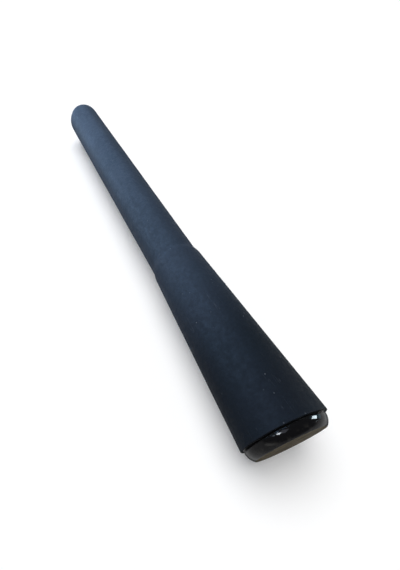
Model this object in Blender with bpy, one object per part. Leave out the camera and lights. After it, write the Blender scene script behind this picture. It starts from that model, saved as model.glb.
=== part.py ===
"""Telescopic fishing pole with a sleeved grip and a screw-in butt cap, closed as for carrying.

Units are metres and +Z is up. The pole lies along X, butt at -X and tip at +X.
Along the pole, x is measured from the butt edge of the grip sleeve.
Round pieces have flat sides, one of them facing down, and a radius is measured to a flat.
"""

import math

import bmesh
import bpy
from mathutils import Matrix

# Round pieces
SIDES = 24
FLAT_TO_CORNER = 1 / math.cos(math.pi / SIDES)
SMALL_SIDES = 8
MERGE_DISTANCE = 0.000001

# Clearances
SEAT_GAP = 0.0003
THREAD_GAP = 0.0003
SLIDE_GAP = 0.0001

# Grip sleeve: slim front, shoulder, and a grip that flares to the butt
FRONT_RADIUS = 0.0130
SHOULDER_RISE = 0.0009
GRIP_FLARE = 0.0031
SLEEVE_LENGTH = 0.3115
SHOULDER_START = 0.086
SHOULDER_LENGTH = 0.012
SHOULDER_STEPS = 6
SLEEVE_WALL = 0.0008
SLEEVE_EDGE = 0.0003

# Grip core, which covers part of the shoulder
CORE_COVER = 0.33

# Base tube, with a thicker wall where it grips the next section
TUBE_WALL = 0.0008
MOUTH_EXTRA_WALL = 0.0004
MOUTH_BLEND = 0.020
MOUTH_REACH = 0.0028
MOUTH_RING_DROP = 0.0004

# Screw thread of the butt
PITCH = 0.0020
ROWS_PER_PITCH = 4
THREAD_DEPTH = 0.0007
THREAD_START = 0.0010
STEM_THREAD = 0.0050
INSERT_THREAD = 0.0060
THREAD_FADE = 0.0006

# Butt insert
INSERT_LIP = 0.0010
INSERT_SOCKET = 0.0070

# Butt cap
CAP_INSET = 0.0011
CAP_REACH = 0.0048
CAP_TO_SLEEVE = 0.0005
CAP_EDGE_RADIUS = 0.0028
CAP_EDGE_STEPS = 5
CAP_FACE_WALL = 0.0024
CAP_CHAMFER = 0.0004
STEM_NOSE = 0.0006
STEM_WALL = 0.0030
CUSHION_RIM = 0.0006
CUSHION_RECESS = 0.0012
CUSHION_THICKNESS = 0.0025
O_RING_THICKNESS = 0.0014

# Sliding sections, from the second to the seventh, and the solid tip
SECTION_WALLS = (0.0009, 0.0008, 0.00075, 0.0007, 0.0006, 0.0005)
SECTION_OVERLAP = 0.040
SECTION_REACH = 0.0025
TIP_RADIUS = 0.0007
TIP_REACH = 0.0045

# Rings at the mouths of the sections
RING_SETBACK = 0.0003
RING_REAR_GAP = 0.0004
RING_CATCH = 0.0003
RING_CHAMFER = 0.0002

# Tip ferrule, and the eye that spins on its neck
FERRULE_FLOOR = 0.0006
NECK_RADIUS = 0.0005
HEAD_RADIUS = 0.00095
HEAD_LENGTH = 0.0006
HUB_LENGTH = 0.0010
HUB_WALL = 0.00125
EYE_RADIUS = 0.0020
EYE_WIRE = 0.0004
EYE_FORWARD = 0.0011
EYE_ARC = math.radians(250)
EYE_STEPS = 20

# Finishes: colour, roughness and metallic value
MATT_RUBBER = ((0.022, 0.027, 0.036), 0.75, 0.0)
SEAL_RUBBER = ((0.015, 0.015, 0.015), 0.60, 0.0)
GRIP_FOAM = ((0.030, 0.030, 0.032), 0.90, 0.0)
LACQUERED_TUBE = ((0.012, 0.013, 0.017), 0.25, 0.0)
BLACK_PLASTIC = ((0.020, 0.020, 0.022), 0.45, 0.0)
GLOSS_BLACK = ((0.008, 0.008, 0.010), 0.08, 0.0)
DARK_METAL = ((0.045, 0.048, 0.055), 0.30, 1.0)
BRIGHT_STEEL = ((0.62, 0.62, 0.64), 0.20, 1.0)

# Radii that follow from these
GRIP_BUTT_RADIUS = FRONT_RADIUS + SHOULDER_RISE + GRIP_FLARE
TUBE_RADIUS = FRONT_RADIUS - SLEEVE_WALL - SEAT_GAP
TUBE_BORE = TUBE_RADIUS - TUBE_WALL
MOUTH_BORE = TUBE_BORE - MOUTH_EXTRA_WALL
STEM_ROOT = TUBE_BORE
STEM_CREST = STEM_ROOT + THREAD_DEPTH
INSERT_CREST = STEM_ROOT + THREAD_GAP
INSERT_ROOT = STEM_CREST + THREAD_GAP
CAP_RADIUS = GRIP_BUTT_RADIUS - CAP_INSET
CUSHION_RADIUS = STEM_ROOT - CUSHION_RIM - SEAT_GAP
O_RING_CENTRE = (INSERT_ROOT + CAP_RADIUS) / 2

# Places that follow from these
TUBE_MOUTH = SLEEVE_LENGTH + MOUTH_REACH
GROOVE_DEPTH = O_RING_THICKNESS + SEAT_GAP - CAP_TO_SLEEVE
STEM_THREAD_END = THREAD_START + STEM_THREAD
STEM_LENGTH = STEM_THREAD_END + STEM_NOSE
INSERT_THREAD_END = THREAD_START + INSERT_THREAD
SOCKET_START = INSERT_THREAD_END + INSERT_LIP
INSERT_END = SOCKET_START + INSERT_SOCKET
TUBE_BUTT = SOCKET_START + SEAT_GAP
CUSHION_BACK = STEM_LENGTH - CUSHION_RECESS + SEAT_GAP
SECTION_BUTT = CUSHION_BACK + CUSHION_THICKNESS + SEAT_GAP
LAST_MOUTH = TUBE_MOUTH + len(SECTION_WALLS) * SECTION_REACH
TIP_END = LAST_MOUTH + TIP_REACH
NECK_START = TIP_END + SEAT_GAP + FERRULE_FLOOR
HUB_CENTRE = NECK_START + SEAT_GAP + HUB_LENGTH / 2
EYE_FRONT = HUB_CENTRE + EYE_FORWARD + EYE_RADIUS + EYE_WIRE


def section_lengths():
    """Lengths of the sliding sections, the tip last."""
    mouths = [TUBE_MOUTH + step * SECTION_REACH for step in range(1, len(SECTION_WALLS) + 1)]
    return [end - SECTION_BUTT for end in mouths + [TIP_END]]


def section_taper():
    """Radius lost per metre of a section, so that the walls and fits end at the tip's radius."""
    lengths = section_lengths()
    room = MOUTH_BORE - TIP_RADIUS - sum(SECTION_WALLS) - SLIDE_GAP * len(lengths)
    return room / sum(length - SECTION_OVERLAP for length in lengths)


TAPER = section_taper()


def clear_scene():
    for obj in list(bpy.data.objects):
        bpy.data.objects.remove(obj, do_unlink=True)


def make_material(name, colour, roughness, metallic):
    material = bpy.data.materials.new(name)
    material.use_nodes = True
    shader = material.node_tree.nodes["Principled BSDF"]
    shader.inputs["Base Color"].default_value = (*colour, 1.0)
    shader.inputs["Roughness"].default_value = roughness
    shader.inputs["Metallic"].default_value = metallic
    return material


def along(obj):
    """Distance of an object's origin from the butt edge of the sleeve."""
    return obj.location.x + along(obj.parent) if obj.parent else 0.0


def make_empty(name, parent=None, x=0.0):
    empty = bpy.data.objects.new(name, None)
    bpy.context.collection.objects.link(empty)
    empty.parent = parent
    if parent:
        empty.location.x = x - along(parent)
    return empty


def make_object(name, bm, finish, parent, origin):
    """Makes an object of a mesh drawn at its place along the pole, its origin on the axis."""
    bmesh.ops.translate(bm, vec=(-origin, 0, 0), verts=bm.verts)
    mesh = bpy.data.meshes.new(name)
    bm.to_mesh(mesh)
    bm.free()
    mesh.shade_smooth()
    mesh.set_sharp_from_angle(angle=math.radians(35))
    mesh.materials.append(make_material(name, *finish))
    obj = bpy.data.objects.new(name, mesh)
    bpy.context.collection.objects.link(obj)
    obj.parent = parent
    obj.location.x = origin - along(parent)
    return obj


def add_lathe(bm, profile, closed):
    """Turns a line of (x, radius) points round the X axis."""
    verts = [bm.verts.new((x, radius * FLAT_TO_CORNER, 0)) for x, radius in profile]
    edges = [bm.edges.new(pair) for pair in zip(verts, verts[1:])]
    if closed:
        edges.append(bm.edges.new((verts[-1], verts[0])))
    bmesh.ops.spin(
        bm,
        geom=verts + edges,
        cent=(0, 0, 0),
        axis=(1, 0, 0),
        angle=2 * math.pi,
        steps=SIDES,
        use_merge=True,
    )


def close_round(bm):
    """Joins the seams of a turned shape, faces it outwards and turns a flat side down."""
    bmesh.ops.remove_doubles(bm, verts=bm.verts, dist=MERGE_DISTANCE)
    bmesh.ops.recalc_face_normals(bm, faces=bm.faces)
    half_side = Matrix.Rotation(math.pi / SIDES, 3, "X")
    bmesh.ops.rotate(bm, cent=(0, 0, 0), matrix=half_side, verts=bm.verts)


def turned(name, profile, finish, parent, origin, closed=True):
    bm = bmesh.new()
    add_lathe(bm, profile, closed)
    close_round(bm)
    return make_object(name, bm, finish, parent, origin)


def add_thread(bm, start, end, low, high, end_radius):
    """A right-hand thread whose rows follow the helix and fade to a plain radius at both ends."""
    heights = (low, low, high, high)
    first = math.floor(start / PITCH * ROWS_PER_PITCH) - ROWS_PER_PITCH
    last = math.ceil(end / PITCH * ROWS_PER_PITCH)
    grid = []
    for row in range(first, last + 1):
        line = []
        for column in range(SIDES + 1):
            x = (row / ROWS_PER_PITCH + column / SIDES) * PITCH
            x = min(max(x, start), end)
            fade = min(1, (x - start) / THREAD_FADE, (end - x) / THREAD_FADE)
            radius = end_radius + (heights[row % ROWS_PER_PITCH] - end_radius) * fade
            corner = radius * FLAT_TO_CORNER
            angle = 2 * math.pi * column / SIDES
            line.append(bm.verts.new((x, corner * math.cos(angle), corner * math.sin(angle))))
        grid.append(line)
    for lower, upper in zip(grid, grid[1:]):
        for column in range(SIDES):
            after = column + 1
            bm.faces.new((lower[column], upper[column], upper[after], lower[after]))


def ease(share):
    return share * share * (3 - 2 * share)


def sleeve_radius(x):
    """Outer radius of the sleeve, without its rounded ends."""
    if x <= SHOULDER_START:
        return FRONT_RADIUS + SHOULDER_RISE + GRIP_FLARE * (1 - x / SHOULDER_START)
    share = min(1, (x - SHOULDER_START) / SHOULDER_LENGTH)
    return FRONT_RADIUS + SHOULDER_RISE * (1 - ease(share))


def sleeve_bore(x):
    return sleeve_radius(x) - SLEEVE_WALL


def shoulder_places(cover=1.0):
    """Places of the points along the shoulder's curve, up to a share of its length."""
    steps = round(SHOULDER_STEPS * cover)
    run = SHOULDER_LENGTH * cover
    return [SHOULDER_START + run * step / steps for step in range(steps + 1)]


def make_grip_sleeve(pole):
    places = [SLEEVE_EDGE, *shoulder_places(), SLEEVE_LENGTH - SLEEVE_EDGE]
    outside = [(x, sleeve_radius(x)) for x in places]
    outside.insert(0, (0.0, sleeve_radius(0.0) - SLEEVE_EDGE))
    outside.append((SLEEVE_LENGTH, FRONT_RADIUS - SLEEVE_EDGE))
    places = [0.0, *shoulder_places(), SLEEVE_LENGTH]
    inside = [(x, sleeve_bore(x)) for x in reversed(places)]
    return turned("grip_sleeve", outside + inside, MATT_RUBBER, pole, 0.0)


def make_grip_core(pole):
    start = INSERT_END + SEAT_GAP
    places = [start, *shoulder_places(CORE_COVER)]
    outside = [(x, sleeve_bore(x) - SEAT_GAP) for x in places]
    inside = [(x, TUBE_RADIUS + SEAT_GAP) for x in (places[-1], start)]
    return turned("grip_core", outside + inside, GRIP_FOAM, pole, start)


def make_base_tube(pole):
    grip_start = TUBE_MOUTH - SECTION_OVERLAP
    profile = [
        (TUBE_BUTT, TUBE_RADIUS),
        (TUBE_MOUTH, TUBE_RADIUS),
        (TUBE_MOUTH, MOUTH_BORE),
        (grip_start, MOUTH_BORE + TAPER * SECTION_OVERLAP),
        (grip_start - MOUTH_BLEND, TUBE_BORE),
        (TUBE_BUTT, TUBE_BORE),
    ]
    return turned("base_tube", profile, LACQUERED_TUBE, pole, TUBE_BUTT)


def ring_profile(start, end, inner, outer):
    return [
        (start, inner),
        (start, outer - RING_CHAMFER),
        (start + RING_CHAMFER, outer),
        (end - RING_CHAMFER, outer),
        (end, outer - RING_CHAMFER),
        (end, inner),
    ]


def make_mouth_ring(pole):
    start = SLEEVE_LENGTH + RING_REAR_GAP
    end = TUBE_MOUTH - RING_SETBACK
    profile = ring_profile(start, end, TUBE_RADIUS + SEAT_GAP, FRONT_RADIUS - MOUTH_RING_DROP)
    return turned("mouth_ring", profile, DARK_METAL, pole, start)


def make_butt_insert(pole):
    face = SEAT_GAP
    socket = TUBE_RADIUS + SEAT_GAP
    profile = [
        (THREAD_START, INSERT_ROOT),
        (face, INSERT_ROOT),
        (face, sleeve_bore(face) - SEAT_GAP),
        (INSERT_END, sleeve_bore(INSERT_END) - SEAT_GAP),
        (INSERT_END, socket),
        (SOCKET_START, socket),
        (SOCKET_START, INSERT_CREST),
        (INSERT_THREAD_END, INSERT_CREST),
        (INSERT_THREAD_END, INSERT_ROOT),
    ]
    bm = bmesh.new()
    add_lathe(bm, profile, closed=False)
    add_thread(bm, THREAD_START, INSERT_THREAD_END, INSERT_CREST, INSERT_ROOT, INSERT_ROOT)
    close_round(bm)
    return make_object("butt_insert", bm, BLACK_PLASTIC, pole, face)


def cap_edge():
    """Rounded edge between the end face and the side of the butt cap."""
    centre_x = CAP_EDGE_RADIUS - CAP_REACH
    centre_radius = CAP_RADIUS - CAP_EDGE_RADIUS
    points = []
    for step in range(CAP_EDGE_STEPS + 1):
        angle = math.pi / 2 * step / CAP_EDGE_STEPS
        across = CAP_EDGE_RADIUS * math.sin(angle)
        points.append((centre_x - CAP_EDGE_RADIUS * math.cos(angle), centre_radius + across))
    return points


def make_butt_cap(carriage):
    face = -CAP_TO_SLEEVE
    groove_half = O_RING_THICKNESS / 2 + SEAT_GAP
    recess = STEM_ROOT - CUSHION_RIM
    hollow = STEM_ROOT - STEM_WALL
    hollow_end = CAP_FACE_WALL - CAP_REACH
    head = [
        (-CAP_REACH, 0.0),
        *cap_edge(),
        (face - CAP_CHAMFER, CAP_RADIUS),
        (face, CAP_RADIUS - CAP_CHAMFER),
        (face, O_RING_CENTRE + groove_half),
        (face - GROOVE_DEPTH, O_RING_CENTRE + groove_half),
        (face - GROOVE_DEPTH, O_RING_CENTRE - groove_half),
        (face, O_RING_CENTRE - groove_half),
        (face, STEM_ROOT),
        (THREAD_START, STEM_ROOT),
    ]
    stem_end = [
        (STEM_THREAD_END, STEM_ROOT),
        (STEM_LENGTH - CAP_CHAMFER, STEM_ROOT),
        (STEM_LENGTH, STEM_ROOT - CAP_CHAMFER),
        (STEM_LENGTH, recess),
        (STEM_LENGTH - CUSHION_RECESS, recess),
        (STEM_LENGTH - CUSHION_RECESS, hollow),
        (hollow_end, hollow),
        (hollow_end, 0.0),
    ]
    bm = bmesh.new()
    add_lathe(bm, head, closed=False)
    add_thread(bm, THREAD_START, STEM_THREAD_END, STEM_ROOT, STEM_CREST, STEM_ROOT)
    add_lathe(bm, stem_end, closed=False)
    close_round(bm)
    return make_object("butt_cap", bm, GLOSS_BLACK, carriage, 0.0)


def make_o_ring(carriage):
    thick = O_RING_THICKNESS / 2
    centre = SEAT_GAP + thick - CAP_TO_SLEEVE - GROOVE_DEPTH
    profile = []
    for side in range(SMALL_SIDES):
        angle = 2 * math.pi * side / SMALL_SIDES
        profile.append((centre + thick * math.cos(angle), O_RING_CENTRE + thick * math.sin(angle)))
    return turned("cap_o_ring", profile, SEAL_RUBBER, carriage, centre)


def make_cushion(cap):
    front = CUSHION_BACK + CUSHION_THICKNESS
    profile = [
        (CUSHION_BACK, 0.0),
        (CUSHION_BACK, CUSHION_RADIUS),
        (front - CAP_CHAMFER, CUSHION_RADIUS),
        (front, CUSHION_RADIUS - CAP_CHAMFER),
        (front, 0.0),
    ]
    return turned("cap_cushion", profile, SEAL_RUBBER, cap, CUSHION_BACK, closed=False)


def make_sections(pole):
    """The sliding sections, each a child of the one it slides out of, and the bore left for the tip."""
    parent = pole
    parent_mouth = TUBE_MOUTH
    parent_bore = MOUTH_BORE
    for number, (wall, length) in enumerate(zip(SECTION_WALLS, section_lengths()), start=2):
        mouth = SECTION_BUTT + length
        front = parent_bore - SLIDE_GAP - TAPER * (length - SECTION_OVERLAP)
        rear = front + TAPER * length
        profile = [
            (SECTION_BUTT, rear),
            (mouth, front),
            (mouth, front - wall),
            (SECTION_BUTT, rear - wall),
        ]
        section = turned(f"section_{number}", profile, LACQUERED_TUBE, parent, SECTION_BUTT)
        ring_start = parent_mouth + RING_REAR_GAP
        ring_bore = front + TAPER * (mouth - ring_start) + SEAT_GAP
        ring = ring_profile(ring_start, mouth - RING_SETBACK, ring_bore, parent_bore + RING_CATCH)
        turned(f"section_{number}_ring", ring, DARK_METAL, section, ring_start)
        parent = section
        parent_mouth = mouth
        parent_bore = front - wall
    return parent, parent_bore


def make_tip_section(parent):
    length = TIP_END - SECTION_BUTT
    profile = [
        (SECTION_BUTT, 0.0),
        (SECTION_BUTT, TIP_RADIUS + TAPER * length),
        (TIP_END, TIP_RADIUS),
        (TIP_END, 0.0),
    ]
    return turned("tip_section", profile, LACQUERED_TUBE, parent, SECTION_BUTT, closed=False)


def make_tip_ferrule(tip, last_bore):
    """A metal sleeve over the tip, with a neck and a head that hold the eye."""
    rear = LAST_MOUTH + RING_REAR_GAP
    outer = last_bore + RING_CATCH
    bore = TIP_RADIUS + TAPER * (TIP_END - rear) + SEAT_GAP
    neck_end = NECK_START + HUB_LENGTH + 2 * SEAT_GAP
    head_end = neck_end + HEAD_LENGTH
    profile = [
        (TIP_END + SEAT_GAP, 0.0),
        (TIP_END + SEAT_GAP, bore),
        (rear, bore),
        (rear, outer - RING_CHAMFER),
        (rear + RING_CHAMFER, outer),
        (NECK_START - RING_CHAMFER, outer),
        (NECK_START, outer - RING_CHAMFER),
        (NECK_START, NECK_RADIUS),
        (neck_end, NECK_RADIUS),
        (neck_end, HEAD_RADIUS),
        (head_end - RING_CHAMFER, HEAD_RADIUS),
        (head_end, HEAD_RADIUS - RING_CHAMFER),
        (head_end, 0.0),
    ]
    return turned("tip_ferrule", profile, BRIGHT_STEEL, tip, rear, closed=False)


def make_eye_wire(tip):
    """The bent wire of the eye, open towards the hub that it joins."""
    centre = (HUB_CENTRE + EYE_FORWARD, 0, 0)
    on_arc = Matrix.Translation(centre) @ Matrix.Rotation(-EYE_ARC / 2, 4, "Y")
    wire = on_arc @ Matrix.Translation((EYE_RADIUS, 0, 0))
    bm = bmesh.new()
    bmesh.ops.create_circle(bm, cap_ends=True, segments=SMALL_SIDES, radius=EYE_WIRE, matrix=wire)
    bmesh.ops.spin(
        bm,
        geom=bm.verts[:] + bm.edges[:] + bm.faces[:],
        cent=centre,
        axis=(0, 1, 0),
        angle=EYE_ARC,
        steps=EYE_STEPS,
    )
    bmesh.ops.remove_doubles(bm, verts=bm.verts, dist=MERGE_DISTANCE)
    bmesh.ops.recalc_face_normals(bm, faces=bm.faces)
    helper = make_object("eye_wire", bm, BRIGHT_STEEL, tip, HUB_CENTRE)
    helper.hide_render = True
    helper.display_type = "WIRE"
    return helper


def make_tip_eye(tip):
    bore = NECK_RADIUS + SEAT_GAP
    start = HUB_CENTRE - HUB_LENGTH / 2
    profile = ring_profile(start, start + HUB_LENGTH, bore, bore + HUB_WALL)
    eye = turned("tip_eye", profile, BRIGHT_STEEL, tip, HUB_CENTRE)
    union = eye.modifiers.new("wire", "BOOLEAN")
    union.operation = "UNION"
    union.object = make_eye_wire(tip)
    return eye


def make_pole():
    pole = make_empty("pole")
    pole.location.x = -(EYE_FRONT - CAP_REACH) / 2
    pole.location.z = sleeve_radius(SLEEVE_EDGE)

    make_grip_sleeve(pole)
    make_grip_core(pole)
    make_base_tube(pole)
    make_mouth_ring(pole)
    make_butt_insert(pole)

    carriage = make_empty("cap_carriage", pole, 0.0)
    make_o_ring(carriage)
    make_cushion(make_butt_cap(carriage))

    last_section, last_bore = make_sections(pole)
    tip = make_tip_section(last_section)
    make_tip_ferrule(tip, last_bore)
    make_tip_eye(tip)


clear_scene()
make_pole()
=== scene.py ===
"""Looks of a closed telescopic fishing pole: rubber-sleeved grip, gloss butt cap, nested sections.

Units are metres. The pole lies along X with its butt at -X, and +Z is up.
A place along the pole is measured from the butt edge of the grip sleeve, and the turned
pieces are drawn on their places round the X axis, then moved to where the frame has the pole.
"""

import math

import bmesh
import bpy
from mathutils import Matrix, Vector, noise


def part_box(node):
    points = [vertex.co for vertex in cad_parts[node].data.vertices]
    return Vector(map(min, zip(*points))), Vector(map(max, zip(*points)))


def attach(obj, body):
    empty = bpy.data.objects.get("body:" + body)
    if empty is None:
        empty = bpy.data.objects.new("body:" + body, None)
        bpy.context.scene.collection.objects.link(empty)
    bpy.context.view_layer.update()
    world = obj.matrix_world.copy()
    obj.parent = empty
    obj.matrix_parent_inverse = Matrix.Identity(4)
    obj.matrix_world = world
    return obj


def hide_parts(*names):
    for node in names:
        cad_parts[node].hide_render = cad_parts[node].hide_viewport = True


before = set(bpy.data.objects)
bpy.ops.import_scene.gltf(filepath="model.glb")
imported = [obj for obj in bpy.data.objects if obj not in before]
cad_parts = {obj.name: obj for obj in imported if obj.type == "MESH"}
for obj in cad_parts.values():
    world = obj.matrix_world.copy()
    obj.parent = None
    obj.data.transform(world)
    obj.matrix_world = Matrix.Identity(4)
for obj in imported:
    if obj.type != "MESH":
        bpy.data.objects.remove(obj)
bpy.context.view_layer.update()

# Round pieces
TURN = 2 * math.pi
SIDES = 144
SMALL_SIDES = 72
WIRE_SIDES = 20
ROUNDING_STEPS = 6
SMOOTH_ANGLE = math.radians(38)
MERGE_DISTANCE = 0.000001

# Gap between bonded pieces, and room left round a piece in its seat
BONDED = 0.00002
SEAT_GAP = 0.0003

# The frame's round pieces have flat sides, and their radii are measured to the flats
FRAME_SIDES = 24
HALF_FLAT = 0.5 / FRAME_SIDES
CORNER_TO_FLAT = math.cos(math.pi / FRAME_SIDES)
SAME_PLACE = 0.00001

# Where the frame has the pole
sleeve_low, sleeve_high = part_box("grip_sleeve")
BUTT = sleeve_low.x
AXIS_HEIGHT = (sleeve_low.z + sleeve_high.z) / 2
SLEEVE_LENGTH = sleeve_high.x - sleeve_low.x


def span(node):
    """Places along the pole where a CAD node starts and ends."""
    low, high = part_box(node)
    return low.x - BUTT, high.x - BUTT


def radii(node, place):
    """Smallest and largest radius of the CAD node's points nearest a place."""
    points = [vertex.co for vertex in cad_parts[node].data.vertices]
    nearest = min(abs(point.x - BUTT - place) for point in points)
    ring = [point for point in points if abs(point.x - BUTT - place) < nearest + SAME_PLACE]
    distances = [math.hypot(point.y, point.z - AXIS_HEIGHT) * CORNER_TO_FLAT for point in ring]
    return min(distances), max(distances)


# The camera, by its place, the way it looks and the centre of its view in the picture
IMAGE_WIDTH, IMAGE_HEIGHT = 400, 570
SENSOR = 36.0
CAMERA_PLACE = (-0.179564, 0.052555, 0.120465)
CAMERA_DOWN = math.radians(55.306)
CAMERA_TURN = math.radians(-111.635)
FOCAL_PIXELS = 285.18
CENTRE_COLUMN, CENTRE_ROW = 160.5, 340.0
CLIP_START = 0.005

# Grip sleeve: flared grip, soft shoulder, slim front that swells a little towards its end. The
# frame gives its radii at three places: just inside the butt rim, in the grip and in the front.
BUTT_RIM_PLACE = 0.0003
FLARE_PLACE = 0.086
FRONT_PLACE = 0.110
SHOULDER_START = 0.093
SHOULDER_LENGTH = 0.0055
SHOULDER_END = SHOULDER_START + SHOULDER_LENGTH
GRIP_RADIUS = radii("grip_sleeve", BUTT_RIM_PLACE)[1]
FLARE = (GRIP_RADIUS - radii("grip_sleeve", FLARE_PLACE)[1]) / FLARE_PLACE
FRONT_RADIUS = radii("grip_sleeve", FRONT_PLACE)[1]
WAIST_DROP = 0.0002
WAIST_RADIUS = FRONT_RADIUS - WAIST_DROP
FRONT_SWELL = 0.0003
SLEEVE_STEP = 0.0013
BORE_EVERY = 3
SLEEVE_LIP = 0.00014

# The sleeve's knife-cut butt edge, and the unevenness of shrunk rubber
CUT_REACH = 0.006
CUT_ASKEW = 0.00025
CUT_ASKEW_ANGLE = math.radians(-30)
CUT_WAVE = 0.00016
CUT_WAVES = 2.6
DENT_DEPTH = 0.00006
DENT_SCALE = 60.0

# Base tube, with a thicker wall where it grips the next section
TUBE_RADIUS = radii("base_tube", span("base_tube")[0])[1]
SLEEVE_WALL = FRONT_RADIUS - TUBE_RADIUS - BONDED
MOUTH_GRIP = 0.040
MOUTH_BLEND = 0.020
TUBE_ROUNDING = 0.00018

# Screw threads of the cap's stem and the bush, wound on half a turn apart so that they mesh
PITCH = 0.0020
THREAD_DEPTH = 0.0007
THREAD_GAP = 0.0003
THREAD_BASE = 0.0015
THREAD_CREST = 0.0005
THREAD_SINK = 0.0001
THREAD_STEPS_PER_TURN = 72
THREAD_FADE = math.radians(70)
THREAD_LEAST = 0.05
THREAD_START = 0.0015
STEM_THREAD_END = 0.0055
INSERT_THREAD_END = 0.0065
INSERT_STEP = 0.0070
STEM_WOUND_ON = 0.625
INSERT_WOUND_ON = 0.125
STEM_THREAD_PHASE = (STEM_WOUND_ON - HALF_FLAT) * PITCH
INSERT_THREAD_PHASE = (INSERT_WOUND_ON - HALF_FLAT) * PITCH

# Butt cap and its seal
CAP_TO_SLEEVE = 0.0005
CAP_FACE_BACK = 0.00034
CAP_FACE_INSET = 0.0021
CAP_SIDE_BACK = 0.0018
CAP_SIDE_INSET = 0.0003
CAP_SIDE_ROUNDING = 0.0019
CAP_FACE_ROUNDING = 0.00012
CAP_RIM_ROUNDING = 0.0002
CAP_GROOVE_DEPTH = 0.0012
CAP_FACE_WALL = 0.0024
STEM_WALL = 0.0030
STEM_CHAMFER = 0.0004
SEAL_SIDES = 24
CUSHION_ROUNDING = 0.0005

# Rings at the mouths
RING_ROUNDING = 0.0002
RING_GROOVE_WIDTH = 0.0005
RING_GROOVE_DEPTH = 0.00012

# Tip ferrule and eye
NECK_RADIUS = 0.0005
HEAD_RADIUS = 0.00095
HEAD_LENGTH = 0.0006
FERRULE_ROUNDING = 0.00022
NECK_ROUNDING = 0.0001
HUB_LENGTH = 0.0010
EYE_WIRE = 0.0004
EYE_FORWARD = 0.0011
EYE_ARC = math.radians(250)
EYE_STEPS = 60
EYE_ROUNDING = 0.0003

# Sections between the base tube and the tip
SECTION_NUMBERS = range(2, 8)

# X, from the middle of the pole, where the painted shade that darkens the rubber towards the butt
# starts and is darkest, and where the painted sheen that lightens its front starts and is full
BUTT_SHADE_FROM_TO = (-0.090, -0.150)
SHEEN_PAINT_FROM_TO = (-0.160, -0.040)

# Values of noise or of a wave between which each pattern rises, and the scale of the patches
# that scratches keep to
CLOUD_RISE = (0.3, 0.7)
STREAK_RISE = (0.33, 0.67)
SCRATCH_PATCH_RISE = (0.98, 1.06)
SCRATCH_PATCH_SCALE = 170.0
WEAR_RISE = (0.48, 0.66)
RIDGE_RISE = (-1.0, 0.6)

# How far a surface faces along the pole where an edge begins and ends
EDGE_BEGINS = (0.25, 0.6)
EDGE_ENDS = (0.97, 0.75)

# Floor and room
WHITE = (1, 1, 1, 1)
FLOOR_REACH = 8.0
FLOOR_COLOUR = (0.88, 0.88, 0.88, 1)
FLOOR_LIFT = 0.14
ROOM_HIGH = (0.15, 0.15, 0.155, 1)
HORIZON_FADE = (0.06, 0.20)

# Flat lamps that only show in reflections: the degrees round and up at which each is seen from
# the origin, under the middle of the pole, its distance, width, height, colour and brightness
PANELS = {
    "far_window": (22, 48, 3.2, 3.4, 1.15, (0.40, 0.63, 1.0), 47.0),
    "left_window": (42, 16, 3.2, 2.2, 1.5, (0.44, 0.67, 1.0), 26.0),
    "side_window": (-118.4, 24.6, 0.557, 0.135, 0.135, (0.78, 0.92, 1.0), 60.0),
    "side_glow": (-114.6, 21.0, 0.569, 0.165, 0.37, (0.30, 0.75, 1.0), 1.3),
    "high_lamp": (133.5, 44.2, 0.679, 0.13, 0.095, (0.85, 0.92, 1.0), 75.0),
    "high_glow": (143.9, 52.1, 0.702, 0.25, 0.20, (0.78, 0.82, 1.0), 4.0),
    "low_glow": (121.0, 35.7, 0.662, 0.11, 0.055, (0.7, 0.85, 1.0), 9.0),
    "side_wall": (138, -1, 1.52, 0.70, 0.55, (1.0, 1.0, 0.95), 1.6),
}

# The wide soft light from above, which doesn't show in reflections
OVERHEAD_PLACE = (0.5, 0.1, 2.0)
OVERHEAD_STRENGTH = 2.7
OVERHEAD_SPREAD = math.radians(60)


def ease(share):
    """Goes from 0 to 1 with soft stops at both ends."""
    share = min(1.0, max(0.0, share))
    return share * share * (3 - 2 * share)


def node_tools(tree):
    """Short ways to add a node with its settings and socket values, and to link two sockets."""

    def add(kind, settings=None, **values):
        node = tree.nodes.new(kind)
        for key, value in (settings or {}).items():
            setattr(node, key, value)
        for key, value in values.items():
            node.inputs[key.replace("_", " ")].default_value = value
        return node

    return add, tree.links.new


def new_group(name, inputs, output):
    """A shader node group with number inputs and one number output."""
    tree = bpy.data.node_groups.new(name, "ShaderNodeTree")
    for socket, value in inputs.items():
        made = tree.interface.new_socket(socket, in_out="INPUT", socket_type="NodeSocketFloat")
        made.default_value = value
    tree.interface.new_socket(output, in_out="OUTPUT", socket_type="NodeSocketFloat")
    add, link = node_tools(tree)
    return tree, add, link, add("NodeGroupInput").outputs, add("NodeGroupOutput").inputs


def set_or_link(link, socket, value):
    """Gives a socket a plain number or what another socket sends."""
    if isinstance(value, (int, float)):
        socket.default_value = value
    else:
        link(value, socket)


def math_node(add, link, operation, first, second=0.0):
    """A Math node fed by sockets or by plain numbers."""
    node = add("ShaderNodeMath", {"operation": operation})
    set_or_link(link, node.inputs[0], first)
    set_or_link(link, node.inputs[1], second)
    return node.outputs[0]


def ranged(add, link, value, low, high, to_low=0.0, to_high=1.0):
    """Carries a value from one range to another, with soft stops at both ends."""
    node = add("ShaderNodeMapRange", {"interpolation_type": "SMOOTHSTEP"})
    for socket, given in zip(node.inputs, (value, low, high, to_low, to_high)):
        set_or_link(link, socket, given)
    return node.outputs["Result"]


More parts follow.
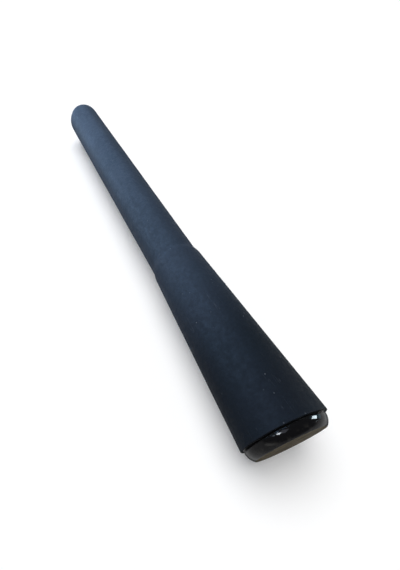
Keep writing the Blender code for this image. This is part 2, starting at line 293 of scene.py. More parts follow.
def drawn_cloud(add, link, given, detail):
    """Noise that is scaled apart along the pole and across it, and the Object coordinates."""
    place = add("ShaderNodeTexCoord")
    stretch = add("ShaderNodeCombineXYZ")
    for socket, name in (("X", "Along"), ("Y", "Across"), ("Z", "Across")):
        link(given[name], stretch.inputs[socket])
    drawn = add("ShaderNodeVectorMath", {"operation": "MULTIPLY"})
    link(place.outputs["Object"], drawn.inputs[0])
    link(stretch.outputs[0], drawn.inputs[1])
    cloud = add("ShaderNodeTexNoise", Scale=1.0, Detail=detail)
    link(drawn.outputs[0], cloud.inputs["Vector"])
    return cloud.outputs[0], place.outputs["Object"]


def mottle_group():
    """Cloudy variation, from broad patches to fine grain by its scale."""
    inputs = {"Scale": 40.0, "Detail": 3.0, "Low": 0.0, "High": 1.0}
    tree, add, link, given, result = new_group("mottle", inputs, "Value")
    place = add("ShaderNodeTexCoord")
    cloud = add("ShaderNodeTexNoise")
    link(place.outputs["Object"], cloud.inputs["Vector"])
    link(given["Scale"], cloud.inputs["Scale"])
    link(given["Detail"], cloud.inputs["Detail"])
    value = ranged(add, link, cloud.outputs[0], *CLOUD_RISE, given["Low"], given["High"])
    link(value, result["Value"])
    return tree


def streaks_group():
    """Variation drawn out along the pole or round it, such as fibres and turning marks."""
    inputs = {"Along": 20.0, "Across": 400.0, "Low": 0.0, "High": 1.0}
    tree, add, link, given, result = new_group("streaks", inputs, "Value")
    cloud = drawn_cloud(add, link, given, 2.0)[0]
    value = ranged(add, link, cloud, *STREAK_RISE, given["Low"], given["High"])
    link(value, result["Value"])
    return tree


def scratches_group():
    """Thin broken lines, long one way and fine the other."""
    inputs = {"Along": 30.0, "Across": 900.0, "Width": 0.01, "Cover": 0.5}
    tree, add, link, given, result = new_group("scratches", inputs, "Mask")
    cloud, place = drawn_cloud(add, link, given, 1.0)
    off = math_node(add, link, "SUBTRACT", cloud, 0.5)
    off = math_node(add, link, "ABSOLUTE", off)
    line = ranged(add, link, off, given["Width"], 0.0)
    patches = add("ShaderNodeTexNoise", Scale=SCRATCH_PATCH_SCALE, Detail=2.0)
    link(place, patches.inputs["Vector"])
    kept = math_node(add, link, "ADD", patches.outputs[0], given["Cover"])
    kept = ranged(add, link, kept, *SCRATCH_PATCH_RISE)
    link(math_node(add, link, "MULTIPLY", line, kept), result["Mask"])
    return tree


def specks_group():
    """Scattered specks of dust, each in a cell of its own."""
    inputs = {"Scale": 700.0, "Share": 0.1, "Size": 0.2}
    tree, add, link, given, result = new_group("specks", inputs, "Mask")
    place = add("ShaderNodeTexCoord")
    cells = add("ShaderNodeTexVoronoi")
    link(place.outputs["Object"], cells.inputs["Vector"])
    link(given["Scale"], cells.inputs["Scale"])
    spot = ranged(add, link, cells.outputs["Distance"], given["Size"], 0.0)
    draw = add("ShaderNodeSeparateColor")
    link(cells.outputs["Color"], draw.inputs[0])
    chosen = math_node(add, link, "LESS_THAN", draw.outputs[0], given["Share"])
    strength = math_node(add, link, "MULTIPLY", chosen, draw.outputs[1])
    link(math_node(add, link, "MULTIPLY", spot, strength), result["Mask"])
    return tree


def along_normal(add, link):
    """How far a piece faces along the pole, either way, and its Object coordinates."""
    place = add("ShaderNodeTexCoord")
    facing = add("ShaderNodeSeparateXYZ")
    link(place.outputs["Normal"], facing.inputs[0])
    return math_node(add, link, "ABSOLUTE", facing.outputs["X"]), place.outputs["Object"]


def rim_wear_group():
    """Rubbed patches on the edges between a turned side and its end faces."""
    inputs = {"Scale": 900.0, "Amount": 0.5}
    tree, add, link, given, result = new_group("rim_wear", inputs, "Mask")
    along, place = along_normal(add, link)
    rise = ranged(add, link, along, *EDGE_BEGINS)
    fall = ranged(add, link, along, *EDGE_ENDS)
    edge = math_node(add, link, "MULTIPLY", rise, fall)
    cloud = add("ShaderNodeTexNoise", Detail=4.0)
    link(place, cloud.inputs["Vector"])
    link(given["Scale"], cloud.inputs["Scale"])
    patches = ranged(add, link, cloud.outputs[0], *WEAR_RISE)
    rubbed = math_node(add, link, "MULTIPLY", patches, given["Amount"])
    link(math_node(add, link, "MULTIPLY", edge, rubbed), result["Mask"])
    return tree


def end_face_group():
    """Where a piece faces along the pole."""
    tree, add, link, given, result = new_group("end_face", {"From": 0.9}, "Mask")
    along = along_normal(add, link)[0]
    link(ranged(add, link, along, given["From"], 1.0), result["Mask"])
    return tree


def wrap_group():
    """Faint ridges that winding tape leaves round a tube blank."""
    tree, add, link, given, result = new_group("wrap", {"Pitch": 0.0015}, "Height")
    place = add("ShaderNodeTexCoord")
    parts = add("ShaderNodeSeparateXYZ")
    link(place.outputs["Object"], parts.inputs[0])
    over = math_node(add, link, "SUBTRACT", parts.outputs["Z"], AXIS_HEIGHT)
    angle = math_node(add, link, "ARCTAN2", over, parts.outputs["Y"])
    turns = math_node(add, link, "DIVIDE", parts.outputs["X"], given["Pitch"])
    phase = math_node(add, link, "MULTIPLY", turns, TURN)
    phase = math_node(add, link, "ADD", phase, angle)
    wave = math_node(add, link, "SINE", phase)
    link(ranged(add, link, wave, *RIDGE_RISE), result["Height"])
    return tree


MOTTLE = mottle_group()
STREAKS = streaks_group()
SCRATCHES = scratches_group()
SPECKS = specks_group()
RIM_WEAR = rim_wear_group()
END_FACE = end_face_group()
WRAP = wrap_group()


class Finish:
    """A material and its Principled shader, with the steps that the finishes share."""

    def __init__(self, name, **constants):
        self.material = bpy.data.materials.new(name)
        self.material.use_nodes = True
        tree = self.material.node_tree
        self.shader = tree.nodes["Principled BSDF"]
        self.add, self.link = node_tools(tree)
        for key, value in constants.items():
            self.shader.inputs[key.replace("_", " ")].default_value = value

    def effect(self, group, **values):
        """One of the shared effects, as a socket."""
        node = self.add("ShaderNodeGroup", {"node_tree": group}, **values)
        return node.outputs[0]

    def mix(self, mask, first, second, strength=1.0):
        """From the first colour to the second by a mask."""
        node = self.add("ShaderNodeMix", {"data_type": "RGBA"})
        if strength != 1.0:
            mask = self.math("MULTIPLY", mask, strength)
        self.link(mask, node.inputs["Factor"])
        for key, colour in (("A", first), ("B", second)):
            if isinstance(colour, tuple):
                node.inputs[key].default_value = (*colour, 1)
            else:
                self.link(colour, node.inputs[key])
        return node.outputs["Result"]

    def math(self, operation, first, second):
        """A Math node in this material."""
        return math_node(self.add, self.link, operation, first, second)

    def feed(self, socket, value):
        """Sends what varies over the surface to one of the shader's sockets."""
        self.link(value, self.shader.inputs[socket])

    def grazing(self, start, full, amount):
        """Roughness for the outline, where a surface seen edge on loses its shine."""
        facing = self.add("ShaderNodeLayerWeight").outputs["Facing"]
        return ranged(self.add, self.link, facing, start, full, 0.0, amount)

    def along(self, start, full):
        """Rises from nothing at one place along the pole to one at another."""
        parts = self.add("ShaderNodeSeparateXYZ")
        self.link(self.add("ShaderNodeTexCoord").outputs["Object"], parts.inputs[0])
        return ranged(self.add, self.link, parts.outputs["X"], start, full)

    def bump(self, height, distance, under=None):
        """Relief of a real depth, on top of other relief if there is any."""
        node = self.add("ShaderNodeBump", Distance=distance)
        self.link(height, node.inputs["Height"])
        if under:
            self.link(under, node.inputs["Normal"])
        return node.outputs[0]


def rubber_finish():
    """Matt navy-black shrunk rubber: fine grain, dust, light scuffs, painted sheen in front,
    painted shade at the butt.
    """
    finish = Finish("grip_rubber", Specular_IOR_Level=0.04)
    broad = finish.effect(MOTTLE, Scale=60.0, Detail=5.0)
    colour = finish.mix(broad, (0.0028, 0.0062, 0.0108), (0.0052, 0.0095, 0.0164))
    patches = finish.effect(MOTTLE, Scale=34.0, Detail=3.0)
    colour = finish.mix(patches, colour, (0.0110, 0.0088, 0.0168), strength=0.40)
    drawn = finish.effect(STREAKS, Along=60.0, Across=380.0)
    colour = finish.mix(drawn, colour, (0.0080, 0.0125, 0.0195), strength=0.25)
    grain = finish.effect(MOTTLE, Scale=620.0, Detail=5.0)
    colour = finish.mix(grain, colour, (0.0125, 0.0180, 0.0275), strength=0.34)
    # Painted sheen: the front of the rubber is coloured pale blue, standing in for bluish light
    # reflected at grazing angles
    painted_sheen = finish.effect(MOTTLE, Scale=22.0, Detail=4.0, Low=0.75, High=1.1)
    painted_sheen = finish.math("MULTIPLY", painted_sheen, finish.along(*SHEEN_PAINT_FROM_TO))
    colour = finish.mix(painted_sheen, colour, (0.034, 0.050, 0.078), strength=0.6)
    # Painted shade: the rubber's colour is darkened towards the butt, where less light falls
    painted_butt_shade = finish.along(*BUTT_SHADE_FROM_TO)
    colour = finish.mix(painted_butt_shade, colour, (0.0014, 0.0028, 0.0045), strength=0.6)
    scuffs = finish.effect(SCRATCHES, Along=14.0, Across=420.0, Width=0.007, Cover=0.42)
    colour = finish.mix(scuffs, colour, (0.036, 0.042, 0.056), strength=0.6)
    dust = finish.effect(SPECKS, Scale=420.0, Share=0.16, Size=0.16)
    colour = finish.mix(dust, colour, (0.16, 0.18, 0.21), strength=0.8)
    finish.feed("Base Color", colour)
    rough = finish.effect(MOTTLE, Scale=480.0, Detail=5.0, Low=0.58, High=0.72)
    dulled = finish.grazing(start=0.74, full=0.97, amount=0.20)
    finish.feed("Roughness", finish.math("ADD", rough, dulled))
    relief = finish.bump(grain, distance=0.00004)
    pores = finish.effect(MOTTLE, Scale=4200.0, Detail=1.0)
    finish.feed("Normal", finish.bump(pores, distance=0.000012, under=relief))
    return finish.material


def gloss_finish():
    """High-gloss black moulded plastic, finely scratched and rubbed along its edge, with a painted
    reflection on its end face.
    """
    finish = Finish("cap_gloss", Specular_IOR_Level=0.10)
    worn = finish.effect(RIM_WEAR, Scale=420.0, Amount=1.0)
    colour = finish.mix(worn, (0.0050, 0.0050, 0.0058), (0.020, 0.019, 0.018), strength=0.7)
    # Painted reflection: the end face is coloured brown, with lighter mottled patches, standing in
    # for a brown surface mirrored in it
    end = finish.effect(END_FACE, From=0.97)
    colour = finish.mix(end, colour, (0.047, 0.036, 0.017))
    painted_face_reflection = finish.effect(MOTTLE, Scale=260.0, Detail=9.0, Low=-0.2, High=1.0)
    painted_face_reflection = finish.math("MULTIPLY", end, painted_face_reflection)
    colour = finish.mix(painted_face_reflection, colour, (0.125, 0.100, 0.062), strength=0.50)
    dust = finish.effect(SPECKS, Scale=900.0, Share=0.10, Size=0.15)
    colour = finish.mix(dust, colour, (0.12, 0.12, 0.12), strength=0.5)
    finish.feed("Base Color", colour)
    scratches = finish.effect(SCRATCHES, Along=700.0, Across=60.0, Width=0.012, Cover=0.55)
    marked = finish.math("MULTIPLY", scratches, 0.16)
    face = finish.math("MULTIPLY", end, 0.85)
    rubbed = finish.math("MULTIPLY", worn, 0.14)
    rough = finish.effect(MOTTLE, Scale=160.0, Detail=4.0, Low=0.04, High=0.07)
    dulled = finish.grazing(start=0.60, full=0.95, amount=0.80)
    for extra in (marked, face, rubbed, dulled):
        rough = finish.math("ADD", rough, extra)
    finish.feed("Roughness", rough)
    peel = finish.bump(finish.effect(MOTTLE, Scale=240.0, Detail=2.0), distance=0.000012)
    finish.feed("Normal", finish.bump(scratches, distance=0.000004, under=peel))
    return finish.material


def laminate_finish():
    """Dark fibre laminate with faint tape ridges under a clear gloss lacquer."""
    finish = Finish("tube_laminate", Coat_Roughness=0.06, Coat_IOR=1.5)
    fibres = finish.effect(STREAKS, Along=25.0, Across=1400.0)
    colour = finish.mix(fibres, (0.0085, 0.0090, 0.0115), (0.0175, 0.0185, 0.0230))
    wrap = finish.effect(WRAP, Pitch=0.0016)
    colour = finish.mix(wrap, colour, (0.0240, 0.0250, 0.0300), strength=0.35)
    face = finish.effect(END_FACE, From=0.85)
    colour = finish.mix(face, colour, (0.020, 0.020, 0.021), strength=0.9)
    dust = finish.effect(SPECKS, Scale=500.0, Share=0.08, Size=0.12)
    colour = finish.mix(dust, colour, (0.13, 0.14, 0.15), strength=0.6)
    finish.feed("Base Color", colour)
    rough = finish.effect(MOTTLE, Scale=90.0, Detail=3.0, Low=0.24, High=0.36)
    finish.feed("Roughness", finish.math("ADD", rough, finish.math("MULTIPLY", face, 0.4)))
    finish.feed("Coat Weight", finish.math("SUBTRACT", 1.0, face))
    ridges = finish.bump(wrap, distance=0.000012)
    finish.feed("Normal", finish.bump(fibres, distance=0.000003, under=ridges))
    return finish.material


def anodised_finish():
    """Dark satin anodised aluminium with turning marks, rubbed brighter on its edges."""
    finish = Finish("dark_metal", Metallic=1.0)
    turning = finish.effect(STREAKS, Along=9000.0, Across=60.0)
    colour = finish.mix(turning, (0.038, 0.041, 0.048), (0.060, 0.064, 0.073))
    worn = finish.effect(RIM_WEAR, Scale=1100.0, Amount=1.0)
    colour = finish.mix(worn, colour, (0.42, 0.43, 0.45), strength=0.6)
    scratches = finish.effect(SCRATCHES, Along=2600.0, Across=160.0, Width=0.010, Cover=0.5)
    colour = finish.mix(scratches, colour, (0.20, 0.21, 0.23), strength=0.5)
    finish.feed("Base Color", colour)
    finish.feed("Roughness", finish.effect(STREAKS, Along=5000.0, Across=90.0, Low=0.24, High=0.40))
    finish.feed("Normal", finish.bump(turning, distance=0.000005))
    return finish.material


def steel_finish():
    """Polished steel with fine turning marks and a few scratches."""
    finish = Finish("bright_metal", Metallic=1.0)
    turning = finish.effect(STREAKS, Along=14000.0, Across=400.0)
    colour = finish.mix(turning, (0.56, 0.56, 0.575), (0.66, 0.66, 0.68))
    dull = finish.effect(MOTTLE, Scale=900.0, Detail=3.0)
    colour = finish.mix(dull, colour, (0.42, 0.41, 0.40), strength=0.35)
    finish.feed("Base Color", colour)
    finish.feed("Roughness", finish.effect(MOTTLE, Scale=1600.0, Detail=3.0, Low=0.14, High=0.28))
    scratches = finish.effect(SCRATCHES, Along=9000.0, Across=900.0, Width=0.012, Cover=0.5)
    lines = finish.bump(turning, distance=0.0000015)
    finish.feed("Normal", finish.bump(scratches, distance=0.000003, under=lines))
    return finish.material


def seal_finish():
    """Soft black moulded rubber."""
    finish = Finish("seal_rubber", Specular_IOR_Level=0.4)
    cloud = finish.effect(MOTTLE, Scale=260.0, Detail=4.0)
    colour = finish.mix(cloud, (0.012, 0.012, 0.012), (0.019, 0.019, 0.020))
    dust = finish.effect(SPECKS, Scale=1100.0, Share=0.15, Size=0.15)
    finish.feed("Base Color", finish.mix(dust, colour, (0.10, 0.10, 0.10), strength=0.6))
    finish.feed("Roughness", finish.effect(MOTTLE, Scale=500.0, Detail=3.0, Low=0.48, High=0.62))
    grain = finish.effect(MOTTLE, Scale=5200.0, Detail=2.0)
    finish.feed("Normal", finish.bump(grain, distance=0.00001))
    return finish.material


def foam_finish():
    """Dense black foam with open cells."""
    finish = Finish("core_foam", Specular_IOR_Level=0.3)
    cells = finish.effect(MOTTLE, Scale=2600.0, Detail=2.0)
    finish.feed("Base Color", finish.mix(cells, (0.014, 0.014, 0.015), (0.040, 0.040, 0.042)))
    finish.feed("Roughness", finish.effect(MOTTLE, Scale=900.0, Detail=2.0, Low=0.8, High=0.95))
    pits = finish.effect(SPECKS, Scale=1800.0, Share=0.8, Size=0.5)
    relief = finish.bump(cells, distance=0.00008)
    finish.feed("Normal", finish.bump(pits, distance=0.0001, under=relief))
    return finish.material


def insert_finish():
    """Black moulded plastic with a slight satin grain."""
    finish = Finish("insert_plastic", Specular_IOR_Level=0.45)
    cloud = finish.effect(MOTTLE, Scale=180.0, Detail=4.0)
    colour = finish.mix(cloud, (0.016, 0.016, 0.018), (0.025, 0.025, 0.027))
    worn = finish.effect(RIM_WEAR, Scale=900.0, Amount=0.8)
    finish.feed("Base Color", finish.mix(worn, colour, (0.060, 0.060, 0.062), strength=0.5))
    finish.feed("Roughness", finish.effect(MOTTLE, Scale=700.0, Detail=3.0, Low=0.36, High=0.50))
    grain = finish.effect(MOTTLE, Scale=3000.0, Detail=2.0)
    finish.feed("Normal", finish.bump(grain, distance=0.000008))
    return finish.material


FINISHES = {
    "grip_rubber": rubber_finish(),
    "cap_gloss": gloss_finish(),
    "tube_laminate": laminate_finish(),
    "dark_metal": anodised_finish(),
    "bright_metal": steel_finish(),
    "seal_rubber": seal_finish(),
    "core_foam": foam_finish(),
    "insert_plastic": insert_finish(),
}


def tidy_shell(bm):
    """Joins seams and poles and faces the shell outwards."""
    bmesh.ops.remove_doubles(bm, verts=bm.verts, dist=MERGE_DISTANCE)
    bmesh.ops.recalc_face_normals(bm, faces=bm.faces)


def spin_round(bm, sides):
    """Turns what is drawn so far right round the X axis and joins the seam."""
    bmesh.ops.spin(
        bm,
        geom=bm.verts[:] + bm.edges[:],
        cent=(0, 0, 0),
        axis=(1, 0, 0),
        angle=TURN,
        steps=sides,
        use_merge=True,
    )
    tidy_shell(bm)


def lathe(profile, rounded=None, closed=True, sides=SIDES):
    """Turns a line of (place, radius) points round the X axis, with some corners rounded first.

    rounded gives, for a point's number, how much of both its lines the rounding takes off.
    """
    bm = bmesh.new()
    verts = [bm.verts.new((place, 0, radius)) for place, radius in profile]
    for pair in zip(verts, verts[1:]):
        bm.edges.new(pair)
    if closed:
        bm.edges.new((verts[-1], verts[0]))
    for number, cut in (rounded or {}).items():
        bmesh.ops.bevel(
            bm,
            geom=[verts[number]],
            affect="VERTICES",
            offset=cut,
            offset_type="OFFSET",
            segments=ROUNDING_STEPS,
            profile=0.5,
            material=-1,
        )
    spin_round(bm, sides)
    return bm


def finished(bm, name, body, slot, *nodes):
    """Puts a drawn piece in its place on the pole, hangs it on its body and hides the CAD nodes
    that it stands for.
    """
    bmesh.ops.translate(bm, vec=(BUTT, 0, AXIS_HEIGHT), verts=bm.verts)
    mesh = bpy.data.meshes.new(name)
    bm.to_mesh(mesh)
    bm.free()
    mesh.shade_smooth()
    mesh.set_sharp_from_angle(angle=SMOOTH_ANGLE)
    mesh.materials.append(FINISHES[slot])
    piece = bpy.data.objects.new(name, mesh)
    bpy.context.scene.collection.objects.link(piece)
    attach(piece, body)
    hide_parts(*nodes)


def united(first, second):
    """One shell of two closed solids that cross."""
    helpers = []
    for bm in (first, second):
        mesh = bpy.data.meshes.new("part_solid")
        bm.to_mesh(mesh)
        bm.free()
        helper = bpy.data.objects.new("part_solid", mesh)
        bpy.context.scene.collection.objects.link(helper)
        helpers.append(helper)
    union = helpers[0].modifiers.new("union", "BOOLEAN")
    union.operation = "UNION"
    union.object = helpers[1]
    result = bmesh.new()
    result.from_object(helpers[0], bpy.context.evaluated_depsgraph_get())
    for helper in helpers:
        bpy.data.meshes.remove(helper.data)
    tidy_shell(result)
    return result


def thread(first, last, phase, root, depth):
    """A bar of the thread's section, thinned at both ends and wound round the axis.

    It runs from the first place to the last, and a negative depth points it inwards. It is drawn
    straight first, with the angle that it winds through as its Y.
    """
    total = (last - first) / PITCH * TURN
    start_angle = (first - phase) / PITCH * TURN
    steps = round(total / TURN * THREAD_STEPS_PER_TURN)
    sink = math.copysign(THREAD_SINK, -depth)
    bar = bmesh.new()
    outline = (
        (-THREAD_BASE / 2, sink),
        (THREAD_BASE / 2, sink),
        (THREAD_CREST / 2, depth),
        (-THREAD_CREST / 2, depth),
    )
    face = bar.faces.new([bar.verts.new((across, 0, height)) for across, height in outline])
    bmesh.ops.spin(
        bar,
        geom=[*face.verts, *face.edges, face],
        cent=(0, 0, 0),
        axis=(1, 0, 0),
        dvec=(0, total / steps, 0),
        angle=0,
        steps=steps,
    )
    for vert in bar.verts:
        across, turned, height = vert.co
        fade = max(THREAD_LEAST, ease(min(turned, total - turned) / THREAD_FADE))
        radius = root + sink + (height - sink) * fade
        angle = start_angle + turned
        place = first + across + PITCH * turned / TURN
        vert.co = (place, radius * math.cos(angle), radius * math.sin(angle))
    tidy_shell(bar)
    return bar


def sleeve_radius(place):
    """Outer radius of the sleeve: narrowing grip, step down at the shoulder, swelling front."""
    grip = GRIP_RADIUS - FLARE * place
    ahead = max(0.0, (place - SHOULDER_END) / (SLEEVE_LENGTH - SHOULDER_END))
    front = WAIST_RADIUS + FRONT_SWELL * ahead
    return grip + (front - grip) * ease((place - SHOULDER_START) / SHOULDER_LENGTH)


def sleeve_bore(place):
    """Inner radius of the sleeve, which lies on the core and then on the tube."""
    if place < SHOULDER_END:
        return max(TUBE_RADIUS + BONDED, sleeve_radius(place) - SLEEVE_WALL)
    return TUBE_RADIUS + BONDED


def settle_sleeve(bm):
    """Cuts the butt edge a little askew and dents the skin as shrinking leaves it."""
    for vert in bm.verts:
        place, y, z = vert.co
        radius = math.hypot(y, z)
        angle = math.atan2(z, y)
        depth = min(1.0, max(0.0, (radius - sleeve_bore(place)) / SLEEVE_WALL))
        dent = depth * DENT_DEPTH * (noise.noise(vert.co * DENT_SCALE) + 1) / 2
        askew = CUT_ASKEW * (1 + math.cos(angle - CUT_ASKEW_ANGLE)) / 2
        round_edge = Vector((math.cos(angle), math.sin(angle), 0)) * CUT_WAVES
        wave = CUT_WAVE * (noise.noise(round_edge) + 1) / 2
        near_edge = max(0.0, 1 - place / CUT_REACH) ** 2
        shrink = (radius - dent) / radius
        vert.co = (place + near_edge * (askew + wave), y * shrink, z * shrink)


def make_sleeve():
    """The rubber sleeve, drawn in short steps outside and in longer ones along its bore."""
    steps = round(SLEEVE_LENGTH / SLEEVE_STEP)
    places = [SLEEVE_LENGTH * step / steps for step in range(steps + 1)]
    outside = [(place, sleeve_radius(place)) for place in places]
    inside = [(place, sleeve_bore(place)) for place in reversed(places)]
    inside = inside[:-1:BORE_EVERY] + inside[-1:]
    bm = lathe(outside + inside, {0: SLEEVE_LIP, steps: SLEEVE_LIP})
    settle_sleeve(bm)
    finished(bm, "sleeve_skin", "handle", "grip_rubber", "grip_sleeve")


def make_core():
    """The foam core, which carries the flare of the grip."""
    start, end = span("grip_core")
    bore = TUBE_RADIUS + BONDED
    outside = [(place, sleeve_bore(place) - BONDED) for place in (start, end)]
    bm = lathe(outside + [(end, bore), (start, bore)])
    finished(bm, "foam_core", "handle", "core_foam", "grip_core")


def make_base_tube():
    """The outer tube, with its bore narrowed at the mouth."""
    start, end = span("base_tube")
    bore, outer = radii("base_tube", start)
    mouth_bore = radii("base_tube", end)[0]
    profile = [
        (start, outer),
        (end, outer),
        (end, mouth_bore),
        (end - MOUTH_GRIP, radii("base_tube", end - MOUTH_GRIP)[0]),
        (end - MOUTH_GRIP - MOUTH_BLEND, bore),
        (start, bore),
    ]
    bm = lathe(profile, {0: TUBE_ROUNDING, 1: TUBE_ROUNDING, 2: TUBE_ROUNDING})
    finished(bm, "base_blank", "handle", "tube_laminate", "base_tube")


def ring_lathe(node, start_bore, end_bore):
    """A turned ring with rounded rims and a shallow groove round its middle."""
    start, end = span(node)
    outer = radii(node, start)[1]
    middle = (start + end) / 2
    half = RING_GROOVE_WIDTH / 2
    floor = outer - RING_GROOVE_DEPTH
    profile = [
        (start, start_bore),
        (start, outer),
        (middle - half, outer),
        (middle - half / 2, floor),
        (middle + half / 2, floor),
        (middle + half, outer),
        (end, outer),
        (end, end_bore),
    ]
    return lathe(profile, {1: RING_ROUNDING, 6: RING_ROUNDING})


def make_mouth_ring():
    """The ring round the mouth of the base tube."""
    bore = TUBE_RADIUS + BONDED
    bm = ring_lathe("mouth_ring", bore, bore)
    finished(bm, "mouth_collar", "handle", "dark_metal", "mouth_ring")


def stem_root():
    """Radius of the cap's stem between the turns of its thread."""
    return radii("butt_cap", span("butt_cap")[1] - STEM_CHAMFER)[1]


def make_butt_insert():
    """The bush in the butt: the tube's socket, and the thread that holds the cap."""
    start, end = span("butt_insert")
    socket_start = span("base_tube")[0] - SEAT_GAP
    socket = TUBE_RADIUS + BONDED
    crest = stem_root() + THREAD_GAP
    root = crest + THREAD_DEPTH
    profile = [
        (start, root),
        (start, radii("butt_insert", start)[1]),
        (end, radii("butt_insert", end)[1]),
        (end, socket),
        (socket_start, socket),
        (socket_start, crest),
        (INSERT_STEP, crest),
        (INSERT_STEP, root),
    ]
    rims = {0: STEM_CHAMFER, 1: STEM_CHAMFER}
    ridge = thread(THREAD_START, INSERT_THREAD_END, INSERT_THREAD_PHASE, root, -THREAD_DEPTH)
    bm = united(lathe(profile, rims), ridge)
    finished(bm, "threaded_bush", "handle", "insert_plastic", "butt_insert")


def seal_section():
    """The seal's round section: the place and radius of its middle, and its own radius."""
    start, end = span("cap_o_ring")
    low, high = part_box("cap_o_ring")
    half = (end - start) / 2
    return (start + end) / 2, (high.z - low.z) / 2 - half, half


def make_cap():
    """The butt cap: face, side, seal's groove, threaded stem and the seat of its cushion."""
    face, stem_end = span("butt_cap")
    low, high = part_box("butt_cap")
    radius = (high.z - low.z) / 2
    root = stem_root()
    front = -CAP_TO_SLEEVE
    groove_floor = front - CAP_GROOVE_DEPTH
    seal_radius, seal_half = seal_section()[1:]
    groove_half = seal_half + SEAT_GAP
    pad_start = span("cap_cushion")[0]
    recess = radii("cap_cushion", pad_start)[1] + SEAT_GAP
    recess_floor = pad_start - SEAT_GAP
    hollow = root - STEM_WALL
    end = face + CAP_FACE_BACK
    profile = [
        (end, 0.0),
        (end, radius - CAP_FACE_INSET),
        (face + CAP_SIDE_BACK, radius - CAP_SIDE_INSET),
        (front, radius),
        (front, seal_radius + groove_half),
        (groove_floor, seal_radius + groove_half),
        (groove_floor, seal_radius - groove_half),
        (front, seal_radius - groove_half),
        (front, root),
        (stem_end, root),
        (stem_end, recess),
        (recess_floor, recess),
        (recess_floor, hollow),
        (face + CAP_FACE_WALL, hollow),
        (face + CAP_FACE_WALL, 0.0),
    ]
    rims = {1: CAP_FACE_ROUNDING, 2: CAP_SIDE_ROUNDING, 3: CAP_RIM_ROUNDING, 9: STEM_CHAMFER}
    ridge = thread(THREAD_START, STEM_THREAD_END, STEM_THREAD_PHASE, root, THREAD_DEPTH)
    bm = united(lathe(profile, rims, closed=False), ridge)
    finished(bm, "screw_cap", "butt_cap", "cap_gloss", "butt_cap")


def make_seal():
    """The seal in the cap's groove."""
    place, radius, half = seal_section()
    upright = Matrix.Rotation(math.pi / 2, 4, "X")
    bm = bmesh.new()
    bmesh.ops.create_circle(
        bm,
        segments=SEAL_SIDES,
        radius=half,
        matrix=Matrix.Translation((place, 0, radius)) @ upright,
    )
    spin_round(bm, SIDES)
    finished(bm, "seal_ring", "cap_seal", "seal_rubber", "cap_o_ring")


def make_cushion():
    """The pad in the stem of the cap, on which the closed sections rest."""
    start, end = span("cap_cushion")
    radius = radii("cap_cushion", start)[1]
    profile = [(start, 0.0), (start, radius), (end, radius), (end, 0.0)]
    rims = {1: CUSHION_ROUNDING, 2: CUSHION_ROUNDING}
    bm = lathe(profile, rims, closed=False)
    finished(bm, "stop_pad", "butt_cap", "seal_rubber", "cap_cushion")


def make_section(number):
    """A tapered sliding section, and the ring round its mouth."""
    node = f"section_{number}"
    start, end = span(node)
    rear_bore, rear = radii(node, start)
    front_bore, front = radii(node, end)
    profile = [(start, rear), (end, front), (end, front_bore), (start, rear_bore)]
    bm = lathe(profile, dict.fromkeys(range(len(profile)), TUBE_ROUNDING))
    finished(bm, f"blank_{number}", node, "tube_laminate", node)

    ring_node = f"section_{number}_ring"
    taper = (rear - front) / (end - start)
    bores = [front + taper * (end - place) + BONDED for place in span(ring_node)]
    finished(ring_lathe(ring_node, *bores), f"collar_{number}", node, "dark_metal", ring_node)


def make_tip_section():
    """The thin solid tip."""
    start, end = span("tip_section")
    rear, front = radii("tip_section", start)[1], radii("tip_section", end)[1]
    profile = [(start, 0.0), (start, rear), (end, front), (end, 0.0)]
    rims = {1: TUBE_ROUNDING, 2: TUBE_ROUNDING}
    bm = lathe(profile, rims, closed=False, sides=SMALL_SIDES)
    finished(bm, "tip_blank", "tip", "tube_laminate", "tip_section")


def make_ferrule():
    """The sleeve on the tip, with the neck and the head that hold the eye."""
    start, end = span("tip_ferrule")
    outer = radii("tip_ferrule", start)[1]
    tip_start, tip_end = span("tip_section")
    rear, front = [radii("tip_section", place)[1] for place in (tip_start, tip_end)]
    bore = front + BONDED
    mouth = bore + (rear - front) * (tip_end - start) / (tip_end - tip_start)
    neck_start = span("tip_eye")[0] - SEAT_GAP
    neck_end = end - HEAD_LENGTH
    profile = [
        (tip_end + BONDED, 0.0),
        (tip_end + BONDED, bore),
        (start, mouth),
        (start, outer),
        (neck_start, outer),
        (neck_start, NECK_RADIUS),
        (neck_end, NECK_RADIUS),
        (neck_end, HEAD_RADIUS),
        (end, HEAD_RADIUS),
        (end, 0.0),
    ]
    rims = {3: FERRULE_ROUNDING, 4: FERRULE_ROUNDING, 5: NECK_ROUNDING, 8: FERRULE_ROUNDING}
    bm = lathe(profile, rims, closed=False, sides=SMALL_SIDES)
    finished(bm, "tip_socket", "tip", "bright_metal", "tip_ferrule")


def eye_wire(centre_place, radius):
    """The bent wire of the eye, open towards the hub that it joins."""
    centre = (centre_place, 0, 0)
    on_arc = Matrix.Translation(centre) @ Matrix.Rotation(-EYE_ARC / 2, 4, "Y")
    bm = bmesh.new()
    bmesh.ops.create_circle(
        bm,
        cap_ends=True,
        segments=WIRE_SIDES,
        radius=EYE_WIRE,
        matrix=on_arc @ Matrix.Translation((radius, 0, 0)),
    )
    bmesh.ops.spin(
        bm,
        geom=bm.verts[:] + bm.edges[:] + bm.faces[:],
        cent=centre,
        axis=(0, 1, 0),
        angle=EYE_ARC,
        steps=EYE_STEPS,
    )
    tidy_shell(bm)
    return bm


def make_eye():
    """The eye for the line: a hub that spins on the neck, and a bent wire."""
    start = span("tip_eye")[0]
    end = start + HUB_LENGTH
    bore, outer = radii("tip_eye", start)
    low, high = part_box("tip_eye")
    profile = [(start, bore), (start, outer), (end, outer), (end, bore)]
    hub = lathe(profile, {1: EYE_ROUNDING, 2: EYE_ROUNDING}, sides=SMALL_SIDES)
    loop = eye_wire((start + end) / 2 + EYE_FORWARD, (high.z - low.z) / 2 - EYE_WIRE)
    finished(united(hub, loop), "line_eye", "tip_eye", "bright_metal", "tip_eye")


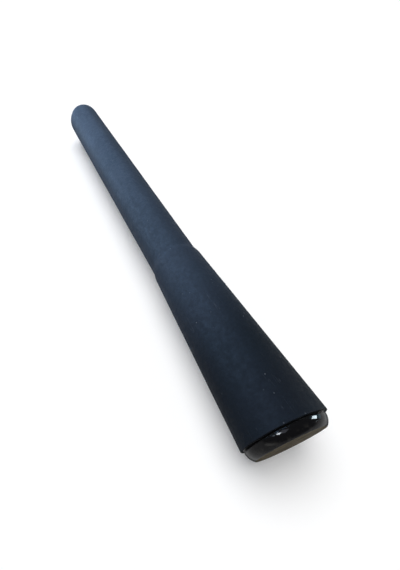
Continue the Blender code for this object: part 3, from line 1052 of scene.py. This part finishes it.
def make_camera():
    """Sees the pole as in the photo, with a shift because its view isn't centred there."""
    data = bpy.data.cameras.new("camera")
    data.sensor_width = SENSOR
    data.lens = SENSOR * FOCAL_PIXELS / IMAGE_HEIGHT
    data.shift_x = (IMAGE_WIDTH / 2 - CENTRE_COLUMN) / IMAGE_HEIGHT
    data.shift_y = (CENTRE_ROW - IMAGE_HEIGHT / 2) / IMAGE_HEIGHT
    data.clip_start = CLIP_START
    camera = bpy.data.objects.new("camera", data)
    camera.location = CAMERA_PLACE
    camera.rotation_euler = (math.pi / 2 - CAMERA_DOWN, 0, CAMERA_TURN)
    bpy.context.scene.collection.objects.link(camera)
    bpy.context.scene.camera = camera


def floor_finish():
    """Pale floor, lifted to white where it is seen or mirrored, that keeps the shadow."""
    finish = Finish(
        "floor",
        Base_Color=FLOOR_COLOUR,
        Emission_Color=WHITE,
        Roughness=0.9,
        Specular_IOR_Level=0.1,
    )
    path = finish.add("ShaderNodeLightPath").outputs
    seen = finish.math("MAXIMUM", path["Is Camera Ray"], path["Is Glossy Ray"])
    seen = finish.math("MAXIMUM", seen, path["Is Transmission Ray"])
    finish.feed("Emission Strength", finish.math("MULTIPLY", seen, FLOOR_LIFT))
    return finish.material


def make_floor():
    """The floor that the pole lies on."""
    bm = bmesh.new()
    bmesh.ops.create_grid(bm, x_segments=1, y_segments=1, size=FLOOR_REACH)
    mesh = bpy.data.meshes.new("floor")
    bm.to_mesh(mesh)
    bm.free()
    mesh.materials.append(floor_finish())
    floor = bpy.data.objects.new("floor", mesh)
    bpy.context.scene.collection.objects.link(floor)


def make_room():
    """Room light: white low down round the horizon and dim overhead, with white behind it all."""
    world = bpy.data.worlds.new("room")
    bpy.context.scene.world = world
    world.use_nodes = True
    tree = world.node_tree
    add, link = node_tools(tree)
    direction = add("ShaderNodeTexCoord")
    parts = add("ShaderNodeSeparateXYZ")
    link(direction.outputs["Generated"], parts.inputs[0])
    room = add("ShaderNodeMix", {"data_type": "RGBA"}, A=WHITE, B=ROOM_HIGH)
    link(ranged(add, link, parts.outputs["Z"], *HORIZON_FADE), room.inputs["Factor"])
    shown = add("ShaderNodeMix", {"data_type": "RGBA"}, B=WHITE)
    link(room.outputs["Result"], shown.inputs["A"])
    path = add("ShaderNodeLightPath").outputs
    seen = math_node(add, link, "MAXIMUM", path["Is Camera Ray"], path["Is Transmission Ray"])
    link(seen, shown.inputs["Factor"])
    link(shown.outputs["Result"], tree.nodes["Background"].inputs["Color"])


def aim(lamp):
    """Turns a lamp so that it shines at the origin, under the middle of the pole."""
    lamp.rotation_euler = lamp.location.to_track_quat("Z", "Y").to_euler()


def make_panel(name, azimuth, elevation, distance, width, height, colour, brightness):
    """A flat lamp that faces the origin and only shows in reflections."""
    data = bpy.data.lights.new(name, "AREA")
    data.shape = "RECTANGLE"
    data.size = width
    data.size_y = height
    data.color = colour
    data.energy = brightness * math.pi * width * height
    panel = bpy.data.objects.new(name, data)
    across, up = math.radians(azimuth), math.radians(elevation)
    panel.location = (
        distance * math.cos(up) * math.cos(across),
        distance * math.cos(up) * math.sin(across),
        distance * math.sin(up),
    )
    aim(panel)
    panel.visible_camera = False
    panel.visible_diffuse = False
    bpy.context.scene.collection.objects.link(panel)


def make_overhead():
    """The soft light from above."""
    data = bpy.data.lights.new("overhead", "SUN")
    data.energy = OVERHEAD_STRENGTH
    data.angle = OVERHEAD_SPREAD
    sun = bpy.data.objects.new("overhead", data)
    sun.location = OVERHEAD_PLACE
    aim(sun)
    sun.visible_glossy = False
    bpy.context.scene.collection.objects.link(sun)


make_camera()
make_sleeve()
make_core()
make_base_tube()
make_mouth_ring()
make_butt_insert()
make_cap()
make_seal()
make_cushion()
for section_number in SECTION_NUMBERS:
    make_section(section_number)
make_tip_section()
make_ferrule()
make_eye()
make_floor()
make_room()
for panel_name, settings in PANELS.items():
    make_panel(panel_name, *settings)
make_overhead()
bpy.context.scene.view_settings.view_transform = "Standard"
